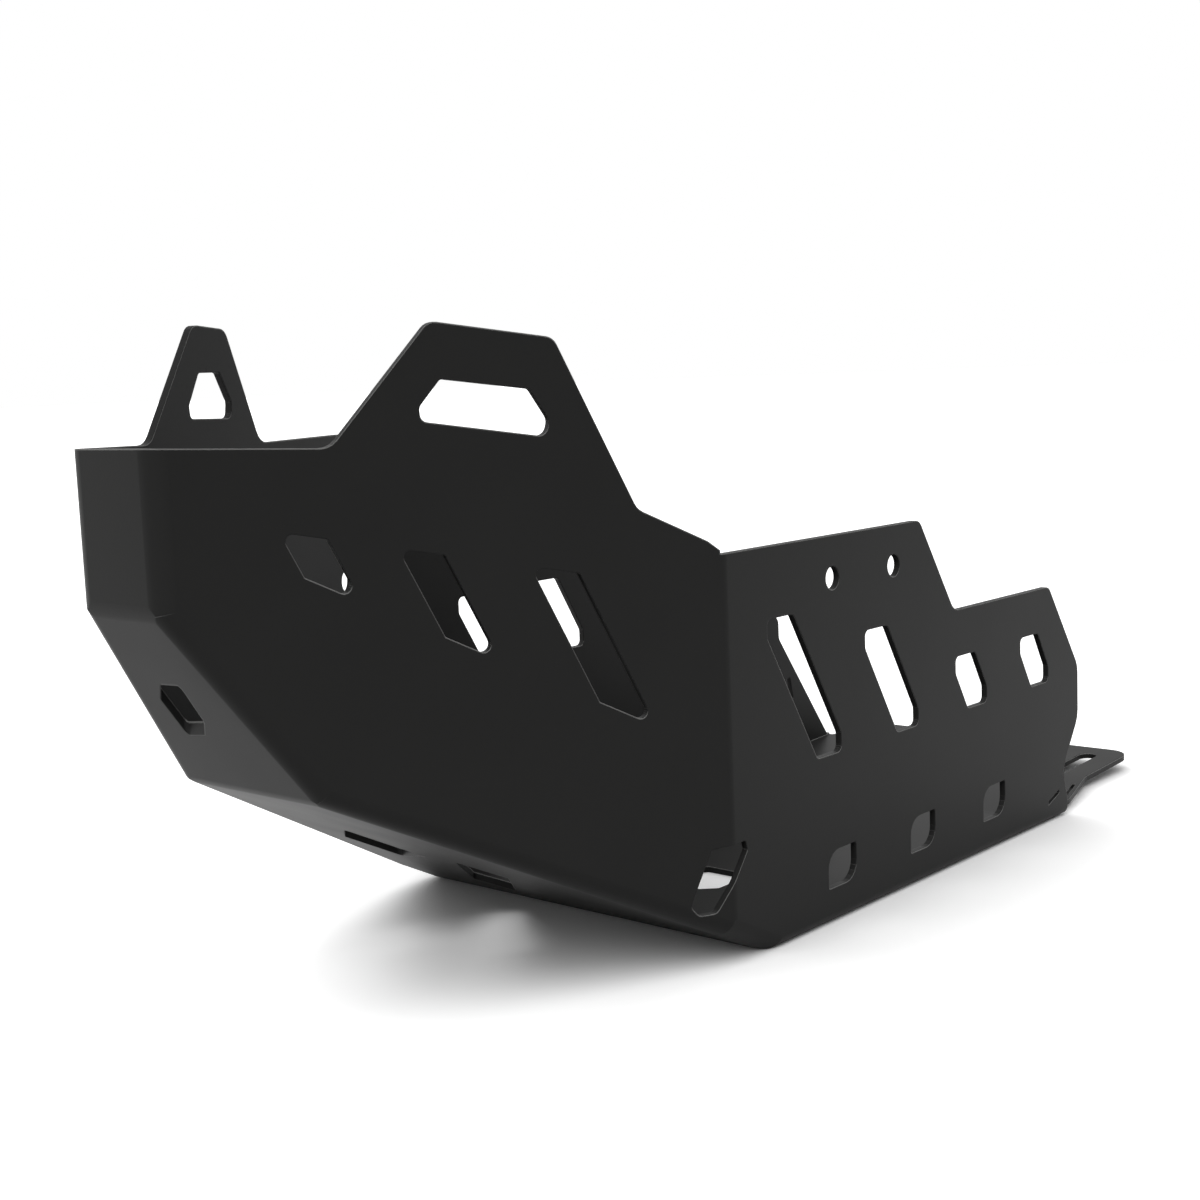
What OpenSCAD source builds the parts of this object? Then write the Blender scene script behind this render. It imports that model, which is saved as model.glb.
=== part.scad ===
// Motorcycle skid plate: one folded sheet, a tray that is open above and behind.
// X runs across the machine, Y from front to rear, and Z up. The tray rests on its floor.
// Outlines of the cheeks are drawn in [distance along the cheek, height], and outlines of
// the straight sides in [distance behind the upright fold, height].

/* [Sheet] */
// Thickness of the sheet
sheet_t = 3; // [2:0.25:4]
// Outer radius of the upright folds beside the front strip
nose_fold_r = 10; // [6:0.5:14]
// Outer radius of the upright folds between cheeks and straight sides
side_fold_r = 8; // [6:0.5:14]
// Outer radius of the folds across the front strip
front_fold_r = 12; // [6:0.5:18]
// Outer radius of the fold between front ramp and floor
floor_fold_r = 18; // [8:1:30]
// Outer radius of the folds between floor and straight sides
hem_fold_r = 5; // [4.5:0.5:8]
// Outer radius of the folds between front ramps and cheeks
ramp_fold_r = 9; // [7:0.5:11]

/* [Overall form] */
// Overall length, from the front strip to the end of the tongue
length = 638.5; // [630:0.5:680]
// Overall width across the straight sides
width = 212; // [200:1:224]
// Width of the front strip
nose_w = 49; // [40:1:60]
// Plan angle of the cheeks, from straight ahead
cheek_angle = 20.66; // [18:0.1:23]
// Height of the front strip's top edge
front_h = 230.5; // [222:0.5:240]
// Height of the fold under the upright front strip
chin_h = 172; // [160:1:180]
// Height of the fold between the steep and the shallow ramp
ramp_h = 96; // [85:1:105]
// Distance of that fold behind the front strip
ramp_y = 52; // [45:1:60]
// Distance from the front strip to the start of the flat floor
floor_y = 240; // [232:1:250]
// Distance from the front strip to the bend where the floor starts to rise
lift_y = 489; // [470:1:500]
// Angle at which the rear of the floor rises
lift_angle = 2.6; // [1.5:0.1:3]

/* [Side outlines] */
// Height of the straight sides at the front
side_h = 175; // [165:1:180]
// Height of the straight sides at the rear
rear_h = 128; // [118:1:136]
// Length of the high part of the straight sides, behind the fold
high_len = 152; // [146:1:158]
// Length over which the top edge drops to the rear height
drop_len = 31; // [24:1:36]
// Length of the straight sides' top edge, behind the fold
top_len = 282; // [276:1:290]
// Length of the near straight side, behind the fold
near_len = 315; // [310:1:325]
// Length of the far straight side, behind the fold
far_len = 329; // [322:1:336]
// Height of the sloping corner at the rear top
rear_corner_h = 81; // [70:1:90]
// Height at which the rear edges leave the upright
rear_toe_h = 52; // [40:1:60]
// Radius of outer corners on the top edges
edge_r = 6; // [2:0.5:10]
// Radius of inner corners on the top edges
notch_r = 8; // [2:0.5:12]

/* [Ears] */
// Height of the near ear above the front strip's top edge
near_ear_h = 40.4; // [30:0.5:50]
// Height of the far ear above the front strip's top edge
far_ear_h = 45; // [35:0.5:55]
// Slope of the ears' top edges
ear_slope = 0.143; // [0:0.005:0.2]

/* [Slots] */
// Lean of the slots in the straight sides, length for height
slot_lean = 0.6; // [0.4:0.02:0.8]
// Width of the slots in the straight sides
slot_w = 24; // [16:1:30]
// Distance between slots in the near straight side
slot_pitch = 66.2; // [60:0.2:70]
// Height of the slots' lower edge
slot_z = 77.5; // [70:0.5:84]
// Width cut off the acute corners of the slots
slot_trim = 5; // [3:0.5:7]
// Radius of the corners of all slots
slot_r = 3; // [1:0.5:4]
// Distance of the first near slot's foot behind the fold
slot_y = 62.9; // [56:0.1:66]
// Width of the drain windows low in the straight sides
drain_w = 22.5; // [14:0.5:30]
// Height of the drain windows
drain_h = 17; // [12:0.5:24]
// Distance between drain windows
drain_pitch = 70; // [60:1:76]
// Distance of the first drain window behind the fold
drain_y = 69.5; // [60:0.5:76]
// Height of the drain windows' lower edge
drain_z = 16.5; // [12:0.5:24]

/* [Fixings] */
// Diameter of the round fixing holes
hole_d = 10.4; // [8:0.1:12]
// Distance between the fixing holes in the near straight side
hole_pitch = 50.7; // [40:0.1:60]
// Distance of the first fixing hole behind the fold
hole_y = 77.8; // [70:0.1:90]
// Height of the fixing holes
hole_z = 156.1; // [150:0.1:162]
// Distance of the far fixing hole in front of the fold, along the cheek
far_hole_s = 36; // [28:1:44]
// Width of the small slot at the rear of the far side
small_slot_w = 4; // [2:0.5:6]
// Height of the small slot
small_slot_h = 15; // [8:1:18]
// Width of the fixing slots in the tongue
tongue_slot_w = 10.4; // [8:0.1:14]
// Length of the fixing slots in the tongue
tongue_slot_l = 80; // [40:1:90]
// Distance between the fixing slots in the tongue, centre to centre
tongue_slot_pitch = 137.4; // [120:0.2:144]
// Distance from the fixing slots to the tongue's end
tongue_slot_end = 13.5; // [8:0.5:20]

/* [Tongue] */
// Width of the tongue
tongue_w = 176; // [168:1:184]
// Length of the parallel part of the tongue
tongue_len = 61.5; // [56:0.5:70]
// Radius of the tongue's rear corners
tongue_r = 12; // [4:0.5:16]
// Radius of the corners at the ends of the bevels
bevel_r = 15; // [4:1:30]
// Width of the narrow slits beside the near bevel
slit_w = 2; // [1:0.25:2.5]

/* [Hidden] */
$fn = 96;

half_w = width / 2;
fold_y = (half_w - nose_w / 2) / tan(cheek_angle);
cheek_len = fold_y / cos(cheek_angle);
above = front_h + 60;
beyond = length + 20;
margin = 20;
through = 3 * sheet_t + 2 * side_fold_r;
near = 1;
far = -1;

// Outline arithmetic. A corner is [x, y, radius], and outlines run anticlockwise.
function flat(c) = [c.x, c.y];
function next(c, i) = flat(c[(i + 1) % len(c)]);
function prev(c, i) = flat(c[(i + len(c) - 1) % len(c)]);
function along(p, q) = (q - p) / norm(q - p);
function left(v) = [-v.y, v.x];
function run_in(c, i) = along(prev(c, i), flat(c[i]));
function run_out(c, i) = along(flat(c[i]), next(c, i));
function miter(c, i) = (left(run_in(c, i)) + left(run_out(c, i))) / (1 + run_in(c, i) * run_out(c, i));
function turn(c, i) = cross(run_in(c, i), run_out(c, i));
function reach(c, i) = c[i].z * abs(turn(c, i)) / (1 + run_in(c, i) * run_out(c, i));
function hub(c, i) = flat(c[i]) + sign(turn(c, i)) * c[i].z * miter(c, i);
function ends(c, i) =
    c[i].z > 0 ? [flat(c[i]) - reach(c, i) * run_in(c, i), flat(c[i]) + reach(c, i) * run_out(c, i)]
               : [flat(c[i])];

// The outline moved inwards by d, with its bends kept concentric
function inset(c, d) =
    [for (i = [0 : len(c) - 1])
        let (p = flat(c[i]) + d * miter(c, i))
        [p.x, p.y, c[i].z > 0 ? max(c[i].z - sign(turn(c, i)) * d, 0.01) : 0]];

// The sector between a fold's centre and its corner. The arc stands proud of its flats by
// a hair, so that it crosses them cleanly.
hair = 0.004;
module sector(c, i)
    intersection() {
        translate(hub(c, i)) circle(r = c[i].z + hair);
        polygon([hub(c, i), ends(c, i)[0], flat(c[i]), ends(c, i)[1]]);
    }

// A folded outline, with a true arc at each fold
module folded(c) {
    polygon([for (i = [0 : len(c) - 1]) each ends(c, i)]);
    for (i = [0 : len(c) - 1]) if (c[i].z > 0) sector(c, i);
}

// A cut outline, with a short chord for every few degrees of its corners
arc_step = 18;
function turn_angle(c, i) = atan2(turn(c, i), run_in(c, i) * run_out(c, i));
function arc(c, i) =
    let (a = turn_angle(c, i), n = ceil(abs(a) / arc_step), from = ends(c, i)[0] - hub(c, i))
    [for (k = [0 : n])
        hub(c, i) + [from.x * cos(a * k / n) - from.y * sin(a * k / n),
                     from.x * sin(a * k / n) + from.y * cos(a * k / n)]];
module cut(c)
    polygon([for (i = [0 : len(c) - 1]) each (c[i].z > 0 ? arc(c, i) : [flat(c[i])])]);

// How far the rear of the floor has risen at a distance behind the front strip
lift_fold_r = 150;
function lift_at(y) = (y - lift_y) * tan(lift_angle);

// Three outlines, seen from above, from the side and from behind. Their common volume is
// the tray's outside at d = 0, and its inside at d = sheet_t, open above and behind.
function plan(d) = inset([
    [nose_w / 2, 0, nose_fold_r], [half_w, fold_y, side_fold_r], [half_w, beyond + 2 * d, 0],
    [-half_w, beyond + 2 * d, 0], [-half_w, fold_y, side_fold_r], [-nose_w / 2, 0, nose_fold_r]], d);
function profile(d) = inset([
    [0, chin_h, front_fold_r], [ramp_y, ramp_h, front_fold_r], [floor_y, 0, floor_fold_r],
    [lift_y, 0, lift_fold_r], [beyond + 2 * d, lift_at(beyond + 2 * d), 0],
    [beyond + 2 * d, above + 2 * d, 0], [0, above + 2 * d, 0]], d);
function section(d) = inset([
    [-half_w, 0, hem_fold_r], [half_w, 0, hem_fold_r], [half_w, above + 2 * d, 0],
    [-half_w, above + 2 * d, 0]], d);

// A bar along the fold between a ramp and a side, rounded at that fold. It covers the whole
// tray, and its flats stay just outside the tray's own.
clear = 0.02;
span = 2 * beyond;
module ramp_bar(d, at, fall, angle) {
    dive = atan(tan(fall) * cos(angle));
    lean = sin(angle) * sin(fall) / (sin(fall) * sin(dive) * cos(angle) + cos(fall) * cos(dive));
    translate(at) rotate([0, 0, -angle]) rotate([-dive, 0, 0]) rotate([90, 0, 0])
        linear_extrude(2 * span, center = true)
            folded(inset([[-span, -span * lean, 0], [0, 0, ramp_fold_r], [0, span, 0], [-span, span, 0]],
                d - clear));
}
steep_fall = atan((chin_h - ramp_h) / ramp_y);
shallow_fall = atan(ramp_h / (floor_y - ramp_y));
ramp_x = nose_w / 2 + ramp_y * tan(cheek_angle);

module tray(d)
    intersection() {
        ramp_bar(d, [nose_w / 2, 0, chin_h], steep_fall, cheek_angle);
        ramp_bar(d, [ramp_x, ramp_y, ramp_h], shallow_fall, cheek_angle);
        ramp_bar(d, [half_w, floor_y, 0], shallow_fall, 0);
        mirror([1, 0, 0]) ramp_bar(d, [nose_w / 2, 0, chin_h], steep_fall, cheek_angle);
        mirror([1, 0, 0]) ramp_bar(d, [ramp_x, ramp_y, ramp_h], shallow_fall, cheek_angle);
        mirror([1, 0, 0]) ramp_bar(d, [half_w, floor_y, 0], shallow_fall, 0);
        linear_extrude(above + margin) folded(plan(d));
        rotate([90, 0, 90]) linear_extrude(width + margin, center = true) folded(profile(d));
        translate([0, beyond + margin, 0]) rotate([90, 0, 0])
            linear_extrude(beyond + 2 * margin) folded(section(d));
    }

// On a cheek: [distance from the front strip's corner, height], cut through the sheet
module on_cheek(side)
    mirror([side == far ? 1 : 0, 0, 0])
        translate([nose_w / 2, 0, 0]) rotate([0, 0, -cheek_angle])
            rotate([90, 0, 90]) linear_extrude(through, center = true) children();

// On a straight side: [distance behind the fold, height], cut through the sheet
module on_side(side)
    translate([side * half_w, fold_y, 0])
        rotate([90, 0, 90]) linear_extrude(through, center = true) children();

// On the upright fold itself, square to the middle of the bend
module on_fold(side)
    mirror([side == far ? 1 : 0, 0, 0])
        translate([half_w, fold_y, 0]) rotate([0, 0, -cheek_angle / 2])
            rotate([90, 0, 90]) linear_extrude(2 * through, center = true) children();

// A slanted slot whose acute corners are cut off upright
function slanted(foot, h) =
    let (top = foot.x - slot_lean * h, rise = slot_trim / slot_lean)
    [[foot.x, foot.y, slot_r], [foot.x + slot_w - slot_trim, foot.y, slot_r],
     [foot.x + slot_w - slot_trim, foot.y + rise, slot_r], [top + slot_w, foot.y + h, slot_r],
     [top + slot_trim, foot.y + h, slot_r], [top + slot_trim, foot.y + h - rise, slot_r]];

// Top edge of the near cheek, from the front corner to the upright fold
cheek_drop = 3.5;
near_ear = [
    [65.3, front_h - cheek_drop, notch_r], [106, front_h + near_ear_h + 0.6, edge_r],
    [157, front_h + near_ear_h - 51 * ear_slope + 0.6, edge_r]];
near_top = concat([[0, front_h, 0]], near_ear,
    [[191, side_h + 21, notch_r], [223, side_h + 5.8, 0], [cheek_len, side_h, 0]]);

// Top edge of the far cheek, with its smaller ear
far_top = [
    [0, front_h, 0], [46.2, front_h - 1, notch_r], [80.5, front_h + far_ear_h, edge_r],
    [104, front_h + far_ear_h - 1.6, edge_r], [126.1, front_h - cheek_drop - 0.8, notch_r],
    [200, front_h - 4, edge_r], [215, side_h + 18, notch_r], [cheek_len, side_h, 0]];

// What lies above the top edge, for the cheek and a little past the upright fold
module above_edge(top)
    cut(concat([[-20, front_h, 0]], top, [[cheek_len + 8, side_h, 0],
        [cheek_len + 8, above + 50, 0], [-20, above + 50, 0]]));

// What lies above and behind a straight side, down to just above the risen floor
near_floor_end = near_len - 13;
far_floor_end = far_len + 54;
far_bevel = 16;
cut_foot = lift_at(fold_y + far_floor_end + far_bevel) + sheet_t + 0.2;
near_rear = [
    [near_len, rear_corner_h, 2 * edge_r], [near_len, rear_toe_h, 14],
    [near_len - 18, rear_toe_h - 25, 14], [near_floor_end, cut_foot, 0]];
far_rear = [
    [far_len, rear_corner_h + 10, edge_r], [far_len, rear_corner_h - 2, edge_r],
    [far_floor_end - 2.8, cut_foot, 0]];
module beyond_side(rear)
    cut(concat(
        [[-2, side_h, 0], [high_len, side_h, edge_r], [high_len + drop_len, rear_h, notch_r],
         [top_len, rear_h, edge_r]],
        rear, [[beyond, cut_foot, 0], [beyond, above + 50, 0], [-2, above + 50, 0]]));

// Slots of the cheeks: they widen to the rear between two straight lines
cheek_slot_s = [44.6, 89.4, 143.3];
cheek_slot_w = [17.9, 18.6, 21];
cheek_slot_lean = 0.49;
row_top = front_h - 23;
row_top_fall = 0.211;
row_foot = front_h - 22.3;
row_foot_fall = 0.51;
function top_at(s) = row_top - row_top_fall * s;
function foot_at(s) = row_foot - row_foot_fall * s;
function drop_at(s) = (top_at(s) - foot_at(s)) / (1 - row_foot_fall * cheek_slot_lean);
function upper(s, r) = [s, top_at(s), r];
function lower(s, r) = [s + cheek_slot_lean * drop_at(s), top_at(s) - drop_at(s), r];
module cheek_slot(s, w)
    cut([lower(s, 1), lower(s + w, slot_r), upper(s + w, 1), upper(s, slot_r - 0.5)]);

// Drain window with two opposite corners well rounded
module drain(y)
    cut([[y, drain_z, 1], [y + drain_w, drain_z, drain_h / 2],
             [y + drain_w, drain_z + drain_h, 1], [y, drain_z + drain_h, drain_h / 2]]);

near_slot_h = [66.5, 51.5, 27.3, 27.3];
module near_side_cuts() {
    for (i = [0 : 3]) cut(slanted([slot_y + i * slot_pitch, slot_z], near_slot_h[i]));
    for (i = [0 : 2]) drain(drain_y + i * drain_pitch);
    for (i = [0 : 1]) translate([hole_y + i * hole_pitch, hole_z]) circle(d = hole_d);
    translate([280, 10]) cut([[0, 0, 0], [12, 4, 0], [12, 4 + slit_w, 0], [0, slit_w, 0]]);
}

far_slot_foot = [[68.6, 101.5], [125.7, 101.5], [195.3, slot_z], [261.5, slot_z]];
far_slot_h = [38, 39.5, 27.3, 27.3];
module far_side_cuts() {
    for (i = [0 : 3]) cut(slanted(far_slot_foot[i], far_slot_h[i]));
    for (i = [0 : 2]) drain(drain_y + i * drain_pitch);
    translate([far_len + 10, 37.5])
        cut([[0, 0, 1.5], [small_slot_w, 0, 1.5], [small_slot_w - 3, small_slot_h, 1.5], [-3, small_slot_h, 1.5]]);
}

// Window in the near ear, and the smaller one in the far ear
module near_ear_window()
    cut([[101, front_h + 4.4, 3], [152.2, front_h - 3.8, 4], [154, front_h + 2.5, 4],
             [146.3, front_h + 14.5, 2], [109.5, front_h + 19.6, 2], [100.5, front_h + 9.5, 3]]);
module far_ear_window()
    cut([[75, front_h + 7.8, 2], [104.5, front_h + 7, 3], [105.6, front_h + 13.7, 3],
             [98, front_h + 25.9, 2], [82.7, front_h + 25.9, 2], [74.4, front_h + 13, 2]]);

// Slanted opening low on the upright fold: [distance across the middle of the fold, height]
module corner_window()
    cut([[-9, 25.5, slot_r], [9.2, 48.7, 1], [8, 53.2, 1], [-10.6, 52.7, 1], [-21.5, 30.2, slot_r],
             [-17, 25.5, slot_r]]);

// Slots in the ramps and the floor, seen from above: [x, y]
floor_slot_pitch = 42;
floor_slot_y = 289;
module front_slots() {
    translate([0, 0, -10]) linear_extrude(above) {
        cut([[-7.4, 20.2, 1.5], [4.9, 19.8, 1.5], [3.5, 30.2, 1.5], [-2.4, 34.5, 1.5],
             [-14.6, 35.5, 1.5], [-15.3, 25.1, 1.5]]);
        cut([[-50, 139, 2], [-18, 112, 2], [-13, 152, 2], [-46, 168, 2]]);
        cut([[-36, 203, 2], [10, 148, 2], [22, 167, 2], [-22, 216, 2]]);
        for (i = [0 : 3])
            translate([(i - 1.5) * floor_slot_pitch, floor_slot_y])
                cut([[-15, 0, 2], [8, 0, 2], [15, 6.3, 2], [15, 33.6, 2], [-12, 33.6, 1], [-15, 30, 1]]);
    }
}

// Plan of the floor behind the straight sides, where bevels lead to the tongue. The cuts
// reach up past the top of the lower folds.
tongue_y = length - tongue_len;
floor_edge = half_w - hem_fold_r;
fold_top = cut_foot + sheet_t;
module behind_floor()
    translate([0, 0, -margin]) linear_extrude(margin + fold_top)
        cut([
            [floor_edge, fold_y + near_floor_end, 0], [half_w + margin, fold_y + near_floor_end, 0],
            [half_w + margin, beyond + margin, 0], [-half_w - margin, beyond + margin, 0],
            [-half_w - margin, fold_y + far_floor_end, 0], [-floor_edge, fold_y + far_floor_end, 0],
            [-tongue_w / 2, fold_y + far_floor_end + far_bevel, 5],
            [-tongue_w / 2, length, tongue_r], [tongue_w / 2, length, tongue_r],
            [tongue_w / 2, tongue_y, bevel_r],
            [floor_edge - 1.5, fold_y + near_floor_end + far_bevel, bevel_r]]);

// Long fixing slots in the tongue, with round ends
module tongue_slots()
    for (side = [near, far])
        translate([side * tongue_slot_pitch / 2, length - tongue_slot_end - tongue_slot_w / 2, -margin])
            linear_extrude(2 * margin) {
                circle(d = tongue_slot_w);
                translate([0, tongue_slot_w - tongue_slot_l]) circle(d = tongue_slot_w);
                translate([-tongue_slot_w / 2, tongue_slot_w - tongue_slot_l])
                    square([tongue_slot_w, tongue_slot_l - tongue_slot_w]);
            }

// Two narrow slits: one in the floor, side by side with the near bevel, and one low in the near side
slit_l = 24.5;
slit_angle = 105.6;
module slit_beside_bevel()
    translate([95.6, 537, -margin]) rotate([0, 0, slit_angle]) translate([0, -slit_w / 2, 0])
        cube([slit_l, slit_w, 2 * margin]);

module skid_plate() {
    color([0.13, 0.13, 0.13])
    translate([0, -length / 2, 0])
    difference() {
        tray(0);
        tray(sheet_t);
        on_cheek(near) above_edge(near_top);
        on_cheek(far) above_edge(far_top);
        on_side(near) beyond_side(near_rear);
        on_side(far) beyond_side(far_rear);
        on_side(near) near_side_cuts();
        on_side(far) far_side_cuts();
        on_cheek(near) near_ear_window();
        on_cheek(far) far_ear_window();
        on_cheek(near) for (i = [0 : 2]) cheek_slot(cheek_slot_s[i], cheek_slot_w[i]);
        on_cheek(far) {
            for (i = [0 : 1]) cheek_slot(cheek_slot_s[i], cheek_slot_w[i]);
            translate([cheek_len - far_hole_s, hole_z + 2]) circle(d = hole_d);
        }
        for (side = [near, far]) on_fold(side) corner_window();
        front_slots();
        behind_floor();
        tongue_slots();
        slit_beside_bevel();
        translate([-nose_w / 2, -margin, front_h]) cube([nose_w, 2 * margin, above]);
    }
}

skid_plate();
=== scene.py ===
"""A black motorcycle skid plate of folded sheet metal, on a white studio floor."""

import math

import bpy
from mathutils import Matrix, Vector


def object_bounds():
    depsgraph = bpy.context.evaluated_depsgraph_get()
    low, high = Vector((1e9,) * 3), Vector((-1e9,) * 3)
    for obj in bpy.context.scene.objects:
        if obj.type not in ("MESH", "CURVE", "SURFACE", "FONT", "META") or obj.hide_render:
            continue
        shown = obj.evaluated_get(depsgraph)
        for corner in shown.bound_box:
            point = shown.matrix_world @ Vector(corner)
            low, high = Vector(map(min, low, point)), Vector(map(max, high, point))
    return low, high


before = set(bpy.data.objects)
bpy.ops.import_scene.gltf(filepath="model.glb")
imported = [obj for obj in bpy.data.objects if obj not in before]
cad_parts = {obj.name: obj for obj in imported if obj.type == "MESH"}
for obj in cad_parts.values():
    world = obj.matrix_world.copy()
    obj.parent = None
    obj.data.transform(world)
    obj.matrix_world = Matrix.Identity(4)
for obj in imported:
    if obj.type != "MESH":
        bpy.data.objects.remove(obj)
cad_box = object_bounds()

# The camera as fitted to the photo, in millimetres from the foot of the front strip's plane
MM = 0.001
FRONT_Y = cad_box[0][1]
CAMERA_AT = Vector((539.0, -354.5, 250.5)) * MM + Vector((0, FRONT_Y, 0))
CAMERA_AZIMUTH = math.radians(41.314)
CAMERA_DOWN = math.radians(7.375)
CAMERA_ROLL = math.radians(2.334)
SENSOR_MM = 36.0
FOCAL_PX = 1764.6
PHOTO_PX = 1200

# Satin black powder coat
COAT_COLOUR = (0.0175, 0.0175, 0.0172)
COAT_ROUGHNESS = 0.45
COAT_SHINE = 0.08
ROUGHNESS_SPREAD = 0.05
TONE_SPREAD = (0.86, 1.16)
GRAIN_SCALE = 900.0
GRAIN_DEPTH = 0.04 * MM
CLOUD_SCALE = 22.0
RIM_RADIUS = 0.45 * MM
RIM_ANGLE = math.radians(35)

# Painted highlight: rims that face up are painted paler, standing in for the light they catch
RIM_HIGHLIGHT_COLOUR = (0.26, 0.26, 0.255)
RIM_REACH = 0.9 * MM
RIM_HIGHLIGHT_RISE = (0.05, 0.33)

# The floor: how bright it is to the camera and to the light that it throws back, and a painted glow, an
# emission that is no lamp, where it lies open towards the front; it takes the floor to white, and where it
# is held back near the plate it leaves a painted shadow on top of the lamps' shadow
FLOOR_SIZE = 60.0
FLOOR_DROP = 0.2 * MM
FLOOR_SEEN = 1.0
FLOOR_BOUNCE = 0.22
FLOOR_ROUGHNESS = 0.9
FLOOR_GLOW = 0.6
GLOW_REACH = 0.2
GLOW_FACING = (-0.3, -0.65, 0.7)
GLOW_OPEN = (0.47, 1.0)

# An even sky, brighter low behind the plate, and soft light from the front and above
SKY_LEVEL = 0.45
SKY_GLOW = 0.7
GLOW_FROM = (-0.5, 0.85, 0.15)
GLOW_EDGE = 0.3
SUN_STRENGTH = 1.75
SUN_ANGLE = math.radians(50)
SUN_TILT = (math.radians(37), math.radians(20), 0)


def make_camera():
    """Places the camera from its azimuth, its tilt and its small roll."""
    a, e, r = CAMERA_AZIMUTH, CAMERA_DOWN, CAMERA_ROLL
    forward = Vector((-math.sin(a) * math.cos(e), math.cos(a) * math.cos(e), -math.sin(e)))
    level = Vector((math.cos(a), math.sin(a), 0))
    down = forward.cross(level)
    right = math.cos(r) * level + math.sin(r) * down
    down = -math.sin(r) * level + math.cos(r) * down
    data = bpy.data.cameras.new("camera")
    data.sensor_width = SENSOR_MM
    data.lens = FOCAL_PX / PHOTO_PX * SENSOR_MM
    data.clip_start = 0.01
    data.clip_end = 100
    camera = bpy.data.objects.new("camera", data)
    axes = Matrix((right, -down, -forward)).transposed()
    camera.matrix_world = Matrix.Translation(CAMERA_AT) @ axes.to_4x4()
    bpy.context.scene.collection.objects.link(camera)
    bpy.context.scene.camera = camera


def make_sun():
    """A broad, soft light from the front and above."""
    data = bpy.data.lights.new("overhead", "SUN")
    data.energy = SUN_STRENGTH
    data.angle = SUN_ANGLE
    sun = bpy.data.objects.new("overhead", data)
    sun.location = (0, 0, 3)
    sun.rotation_euler = SUN_TILT
    bpy.context.scene.collection.objects.link(sun)


def new_material(name):
    """A material with its nodes, its links and its shader."""
    material = bpy.data.materials.new(name)
    material.use_nodes = True
    tree = material.node_tree
    return material, tree.nodes, tree.links, tree.nodes["Principled BSDF"]


def highest(nodes, links, values):
    """The highest of several values."""
    top = values[0]
    for value in values[1:]:
        larger = nodes.new("ShaderNodeMath")
        larger.operation = "MAXIMUM"
        links.new(top, larger.inputs[0])
        links.new(value, larger.inputs[1])
        top = larger.outputs["Value"]
    return top


def seen_ray(nodes, links):
    """1 where the ray comes from the camera, a reflection or clear glass."""
    ray = nodes.new("ShaderNodeLightPath")
    kinds = ("Is Camera Ray", "Is Glossy Ray", "Is Transmission Ray")
    return highest(nodes, links, [ray.outputs[kind] for kind in kinds])


def ramp(nodes, links, value, reach, strengths):
    """Rises smoothly from one strength to the other as the value goes over its reach."""
    level = nodes.new("ShaderNodeMapRange")
    level.interpolation_type = "SMOOTHSTEP"
    level.inputs["From Min"].default_value, level.inputs["From Max"].default_value = reach
    level.inputs["To Min"].default_value, level.inputs["To Max"].default_value = strengths
    links.new(value, level.inputs["Value"])
    return level.outputs["Result"]


def make_coat():
    """Satin black powder coat: a fine pebbled skin, slightly uneven in gloss and tone, with a painted
    highlight on rims that face up.
    """
    material, nodes, links, shader = new_material("black_coat")
    place = nodes.new("ShaderNodeNewGeometry")

    grain = nodes.new("ShaderNodeTexNoise")
    grain.inputs["Scale"].default_value = GRAIN_SCALE
    grain.inputs["Detail"].default_value = 3
    grain.inputs["Roughness"].default_value = 0.55
    links.new(place.outputs["Position"], grain.inputs["Vector"])

    cloud = nodes.new("ShaderNodeTexNoise")
    cloud.inputs["Scale"].default_value = CLOUD_SCALE
    cloud.inputs["Detail"].default_value = 4
    links.new(place.outputs["Position"], cloud.inputs["Vector"])

    tone = nodes.new("ShaderNodeMix")
    tone.data_type = "RGBA"
    for side, share in zip("AB", TONE_SPREAD):
        tone.inputs[side].default_value = (*[c * share for c in COAT_COLOUR], 1)
    links.new(cloud.outputs["Fac"], tone.inputs["Factor"])

    rounded = nodes.new("ShaderNodeBevel")
    rounded.samples = 6
    rounded.inputs["Radius"].default_value = RIM_REACH
    # The rounded normal also shades the rims; painted highlight: where it turns upward from the true
    # normal, the colour is mixed towards a pale grey
    rise = nodes.new("ShaderNodeVectorMath")
    rise.operation = "SUBTRACT"
    links.new(rounded.outputs["Normal"], rise.inputs[0])
    links.new(place.outputs["True Normal"], rise.inputs[1])
    upward = nodes.new("ShaderNodeSeparateXYZ")
    links.new(rise.outputs["Vector"], upward.inputs["Vector"])
    painted_rim_highlight = nodes.new("ShaderNodeMix")
    painted_rim_highlight.data_type = "RGBA"
    painted_rim_highlight.inputs["B"].default_value = (*RIM_HIGHLIGHT_COLOUR, 1)
    links.new(ramp(nodes, links, upward.outputs["Z"], RIM_HIGHLIGHT_RISE, (0.0, 1.0)), painted_rim_highlight.inputs["Factor"])
    links.new(tone.outputs["Result"], painted_rim_highlight.inputs["A"])
    links.new(painted_rim_highlight.outputs["Result"], shader.inputs["Base Color"])

    gloss = nodes.new("ShaderNodeMapRange")
    gloss.inputs["To Min"].default_value = COAT_ROUGHNESS - ROUGHNESS_SPREAD
    gloss.inputs["To Max"].default_value = COAT_ROUGHNESS + ROUGHNESS_SPREAD
    links.new(cloud.outputs["Fac"], gloss.inputs["Value"])
    links.new(gloss.outputs["Result"], shader.inputs["Roughness"])

    bump = nodes.new("ShaderNodeBump")
    bump.inputs["Strength"].default_value = 0.6
    bump.inputs["Distance"].default_value = GRAIN_DEPTH
    links.new(grain.outputs["Fac"], bump.inputs["Height"])
    links.new(rounded.outputs["Normal"], bump.inputs["Normal"])
    links.new(bump.outputs["Normal"], shader.inputs["Normal"])

    shader.inputs["IOR"].default_value = 1.5
    shader.inputs["Specular IOR Level"].default_value = COAT_SHINE
    return material


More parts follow.
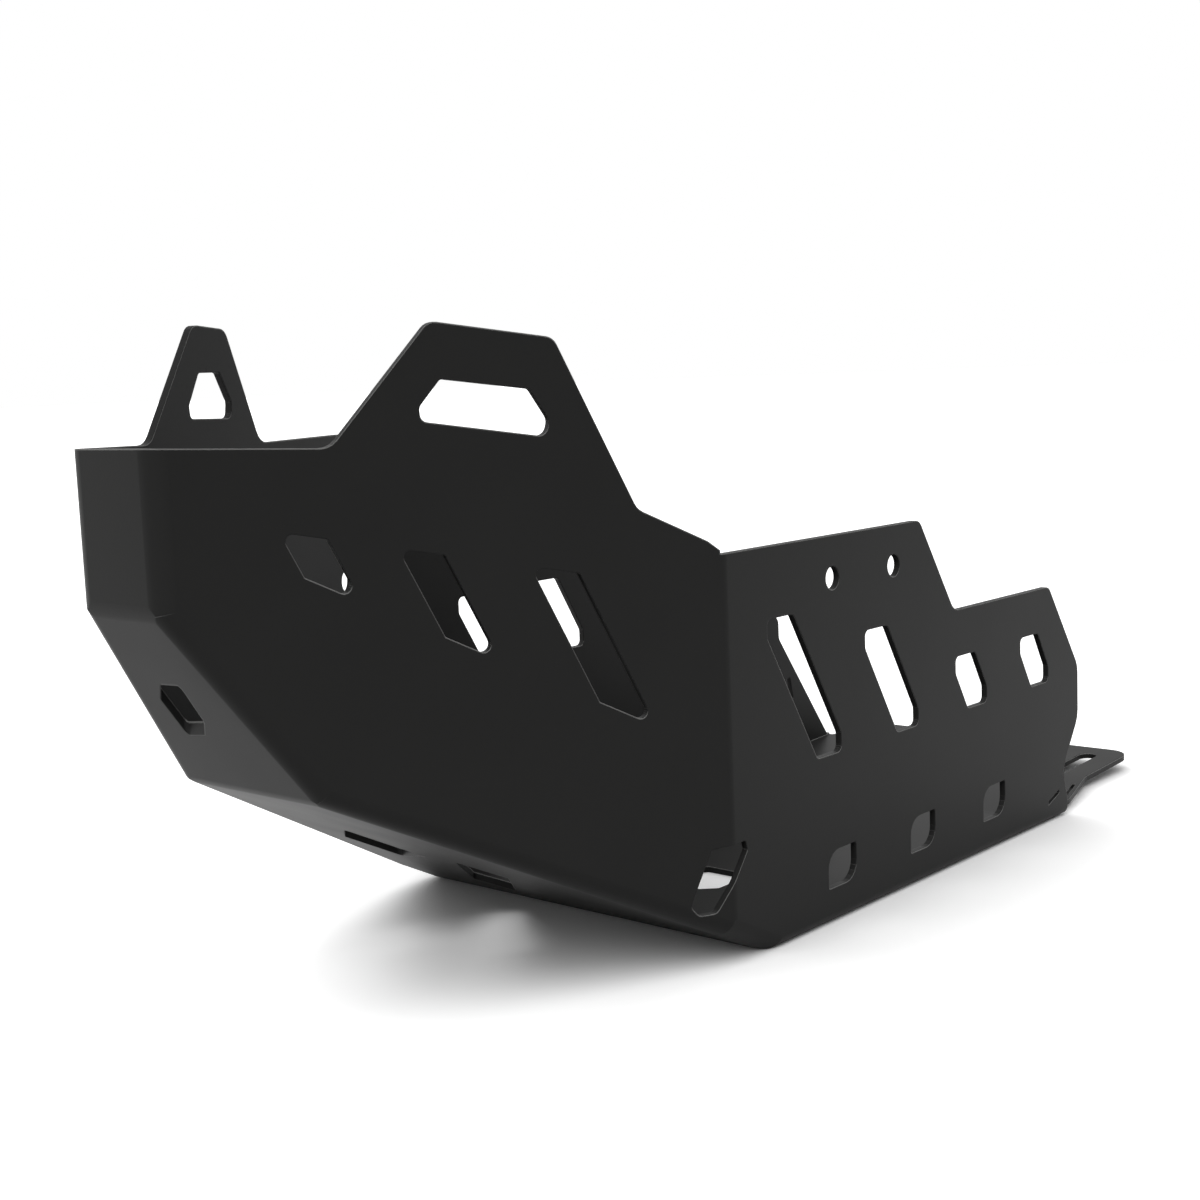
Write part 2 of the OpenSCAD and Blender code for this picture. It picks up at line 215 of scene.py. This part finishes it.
def dress_plate(coat):
    """The coat on the folded sheet, and a fine round on its cut rims."""
    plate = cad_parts["skid_plate"]
    plate.data.materials.clear()
    plate.data.materials.append(coat)
    rims = plate.modifiers.new("rims", "BEVEL")
    rims.width = RIM_RADIUS
    rims.segments = 2
    rims.limit_method = "ANGLE"
    rims.angle_limit = RIM_ANGLE
    rims.harden_normals = True


def make_floor():
    """A floor that the camera and reflections see as white, with a painted glow held back near the plate as
    painted shadow, keeping the lamps' shadow too.
    """
    bpy.ops.mesh.primitive_plane_add(size=FLOOR_SIZE, location=(0, 0, -FLOOR_DROP))
    floor = bpy.context.object
    floor.name = "floor"
    material, nodes, links, shader = new_material("floor")
    shader.inputs["Roughness"].default_value = FLOOR_ROUGHNESS
    shader.inputs["Specular IOR Level"].default_value = 0.0
    white = nodes.new("ShaderNodeMix")
    white.data_type = "RGBA"
    white.inputs["A"].default_value = (*[FLOOR_BOUNCE] * 3, 1)
    white.inputs["B"].default_value = (*[FLOOR_SEEN] * 3, 1)
    links.new(seen_ray(nodes, links), white.inputs["Factor"])
    links.new(white.outputs["Result"], shader.inputs["Base Color"])

    # Painted light and shade: the emission glow is masked by ambient occlusion along a tilted direction, so
    # the darkening near the plate is partly painted shadow
    glow_occlusion_mask = nodes.new("ShaderNodeAmbientOcclusion")
    glow_occlusion_mask.inputs["Distance"].default_value = GLOW_REACH
    facing = nodes.new("ShaderNodeCombineXYZ")
    for axis, value in zip("XYZ", GLOW_FACING):
        facing.inputs[axis].default_value = value
    links.new(facing.outputs["Vector"], glow_occlusion_mask.inputs["Normal"])
    glow = nodes.new("ShaderNodeMath")
    glow.operation = "MULTIPLY"
    links.new(ramp(nodes, links, glow_occlusion_mask.outputs["AO"], GLOW_OPEN, (0.0, FLOOR_GLOW)), glow.inputs[0])
    links.new(seen_ray(nodes, links), glow.inputs[1])
    shader.inputs["Emission Color"].default_value = (1, 1, 1, 1)
    links.new(glow.outputs["Value"], shader.inputs["Emission Strength"])
    floor.data.materials.append(material)


def make_world():
    """An even sky with a broad glow low behind the plate, plain white to camera and reflections."""
    world = bpy.data.worlds.new("studio")
    bpy.context.scene.world = world
    world.use_nodes = True
    nodes, links = world.node_tree.nodes, world.node_tree.links
    facing = nodes.new("ShaderNodeVectorMath")
    facing.operation = "DOT_PRODUCT"
    facing.inputs[1].default_value = GLOW_FROM
    links.new(nodes.new("ShaderNodeTexCoord").outputs["Generated"], facing.inputs[0])
    level = ramp(nodes, links, facing.outputs["Value"], (GLOW_EDGE, 1.0), (SKY_LEVEL, SKY_LEVEL + SKY_GLOW))

    sky = nodes["Background"]
    sky.inputs["Color"].default_value = (1, 1, 1, 1)
    links.new(level, sky.inputs["Strength"])
    seen = nodes.new("ShaderNodeBackground")
    seen.inputs["Color"].default_value = (1, 1, 1, 1)
    seen.inputs["Strength"].default_value = 1.0
    mix = nodes.new("ShaderNodeMixShader")
    links.new(seen_ray(nodes, links), mix.inputs["Fac"])
    links.new(sky.outputs["Background"], mix.inputs[1])
    links.new(seen.outputs["Background"], mix.inputs[2])
    links.new(mix.outputs["Shader"], nodes["World Output"].inputs["Surface"])


make_camera()
make_world()
make_floor()
dress_plate(make_coat())
make_sun()

bpy.context.scene.view_settings.view_transform = "Standard"
